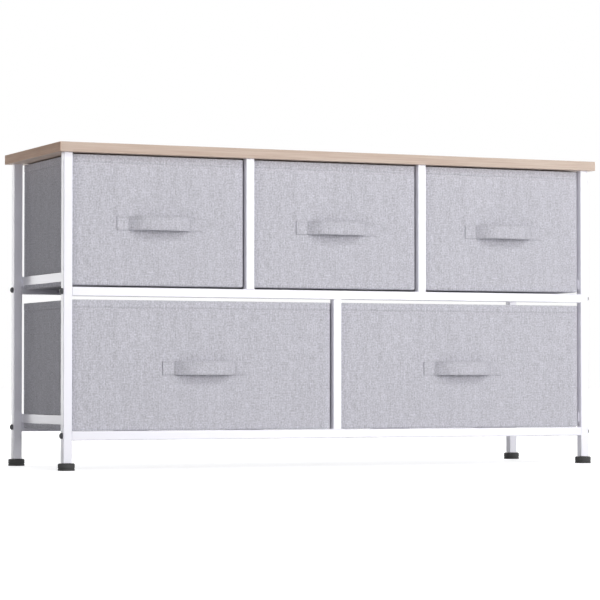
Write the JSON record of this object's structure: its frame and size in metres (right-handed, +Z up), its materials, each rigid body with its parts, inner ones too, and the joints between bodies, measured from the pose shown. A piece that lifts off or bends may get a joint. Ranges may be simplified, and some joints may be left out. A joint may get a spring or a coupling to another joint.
{
  "type": "fabric drawer dresser",
  "caption": "Low wide dresser with a white square-tube steel frame, a pale wood-look top, sliding grey fabric drawers with strap handles, and black levelling feet.",
  "frame": {"origin": "on the floor, under the middle of the dresser's bounding box", "axes": "+X to the dresser's right as seen from the front, +Y to its back, +Z up; the drawers open toward -Y"},
  "size_m": [1, 0.306, 0.535],
  "materials": {
    "top_board": "pale oak-look laminate on particle board, satin, grain along X",
    "frame_steel": "white powder coat, satin",
    "drawer_fabric": "light grey linen-look woven fabric over stiff board",
    "drawer_board": "thin fibreboard covered in grey non-woven fabric",
    "handle_strap": "doubled strap of the same linen-look fabric",
    "black_plastic": "black moulded plastic, satin",
    "bolt_black": "black coated domed bolt"
  },
  "bodies": {
    "frame": {"top_board": "top_board", "leg_front_left": "frame_steel", "leg_front_right": "frame_steel", "leg_rear_left": "frame_steel", "leg_rear_right": "frame_steel", "front_rail_upper": "frame_steel", "front_rail_lower": "frame_steel", "rear_rail_upper": "frame_steel", "rear_rail_lower": "frame_steel", "side_rail_upper_left": "frame_steel", "side_rail_upper_right": "frame_steel", "side_rail_lower_left": "frame_steel", "side_rail_lower_right": "frame_steel", "divider_upper_1": "frame_steel", "divider_upper_2": "frame_steel", "divider_lower_1": "frame_steel", "bar_upper_left_left": "frame_steel", "bar_upper_left_right": "frame_steel", "bar_upper_middle_left": "frame_steel", "bar_upper_middle_right": "frame_steel", "bar_upper_right_left": "frame_steel", "bar_upper_right_right": "frame_steel", "bar_lower_left_left": "frame_steel", "bar_lower_left_right": "frame_steel", "bar_lower_right_left": "frame_steel", "bar_lower_right_right": "frame_steel", "board_peg_front_left": "black_plastic", "board_peg_front_right": "black_plastic", "board_peg_rear_left": "black_plastic", "board_peg_rear_right": "black_plastic", "board_peg_divider_upper_1": "black_plastic", "board_peg_divider_upper_2": "black_plastic", "bolt_front_upper_left": "bolt_black", "bolt_front_upper_right": "bolt_black", "bolt_front_lower_left": "bolt_black", "bolt_front_lower_right": "bolt_black", "bolt_rear_upper_left": "bolt_black", "bolt_rear_upper_right": "bolt_black", "bolt_rear_lower_left": "bolt_black", "bolt_rear_lower_right": "bolt_black"},
    "foot_front_left": {"foot_front_left": "black_plastic"},
    "foot_front_right": {"foot_front_right": "black_plastic"},
    "foot_rear_left": {"foot_rear_left": "black_plastic"},
    "foot_rear_right": {"foot_rear_right": "black_plastic"},
    "drawer_upper_left": {"drawer_upper_left_box": "drawer_fabric", "drawer_upper_left_floor": "drawer_board", "drawer_upper_left_strap": "handle_strap"},
    "drawer_upper_middle": {"drawer_upper_middle_box": "drawer_fabric", "drawer_upper_middle_floor": "drawer_board", "drawer_upper_middle_strap": "handle_strap"},
    "drawer_upper_right": {"drawer_upper_right_box": "drawer_fabric", "drawer_upper_right_floor": "drawer_board", "drawer_upper_right_strap": "handle_strap"},
    "drawer_lower_left": {"drawer_lower_left_box": "drawer_fabric", "drawer_lower_left_floor": "drawer_board", "drawer_lower_left_strap": "handle_strap"},
    "drawer_lower_right": {"drawer_lower_right_box": "drawer_fabric", "drawer_lower_right_floor": "drawer_board", "drawer_lower_right_strap": "handle_strap"}
  },
  "joints": [
    {"name": "drawer_upper_left_slide", "type": "slide", "parent": "frame", "child": "drawer_upper_left", "axis": [0, -1, 0], "range_m": [0, 0.24]},
    {"name": "drawer_upper_middle_slide", "type": "slide", "parent": "frame", "child": "drawer_upper_middle", "axis": [0, -1, 0], "range_m": [0, 0.24]},
    {"name": "drawer_upper_right_slide", "type": "slide", "parent": "frame", "child": "drawer_upper_right", "axis": [0, -1, 0], "range_m": [0, 0.24]},
    {"name": "drawer_lower_left_slide", "type": "slide", "parent": "frame", "child": "drawer_lower_left", "axis": [0, -1, 0], "range_m": [0, 0.24]},
    {"name": "drawer_lower_right_slide", "type": "slide", "parent": "frame", "child": "drawer_lower_right", "axis": [0, -1, 0], "range_m": [0, 0.24]},
    {"name": "foot_front_left_screw", "type": "slide", "parent": "frame", "child": "foot_front_left", "axis": [0, 0, -1], "range_m": [0, 0.01]},
    {"name": "foot_front_right_screw", "type": "slide", "parent": "frame", "child": "foot_front_right", "axis": [0, 0, -1], "range_m": [0, 0.01]},
    {"name": "foot_rear_left_screw", "type": "slide", "parent": "frame", "child": "foot_rear_left", "axis": [0, 0, -1], "range_m": [0, 0.01]},
    {"name": "foot_rear_right_screw", "type": "slide", "parent": "frame", "child": "foot_rear_right", "axis": [0, 0, -1], "range_m": [0, 0.01]}
  ]
}
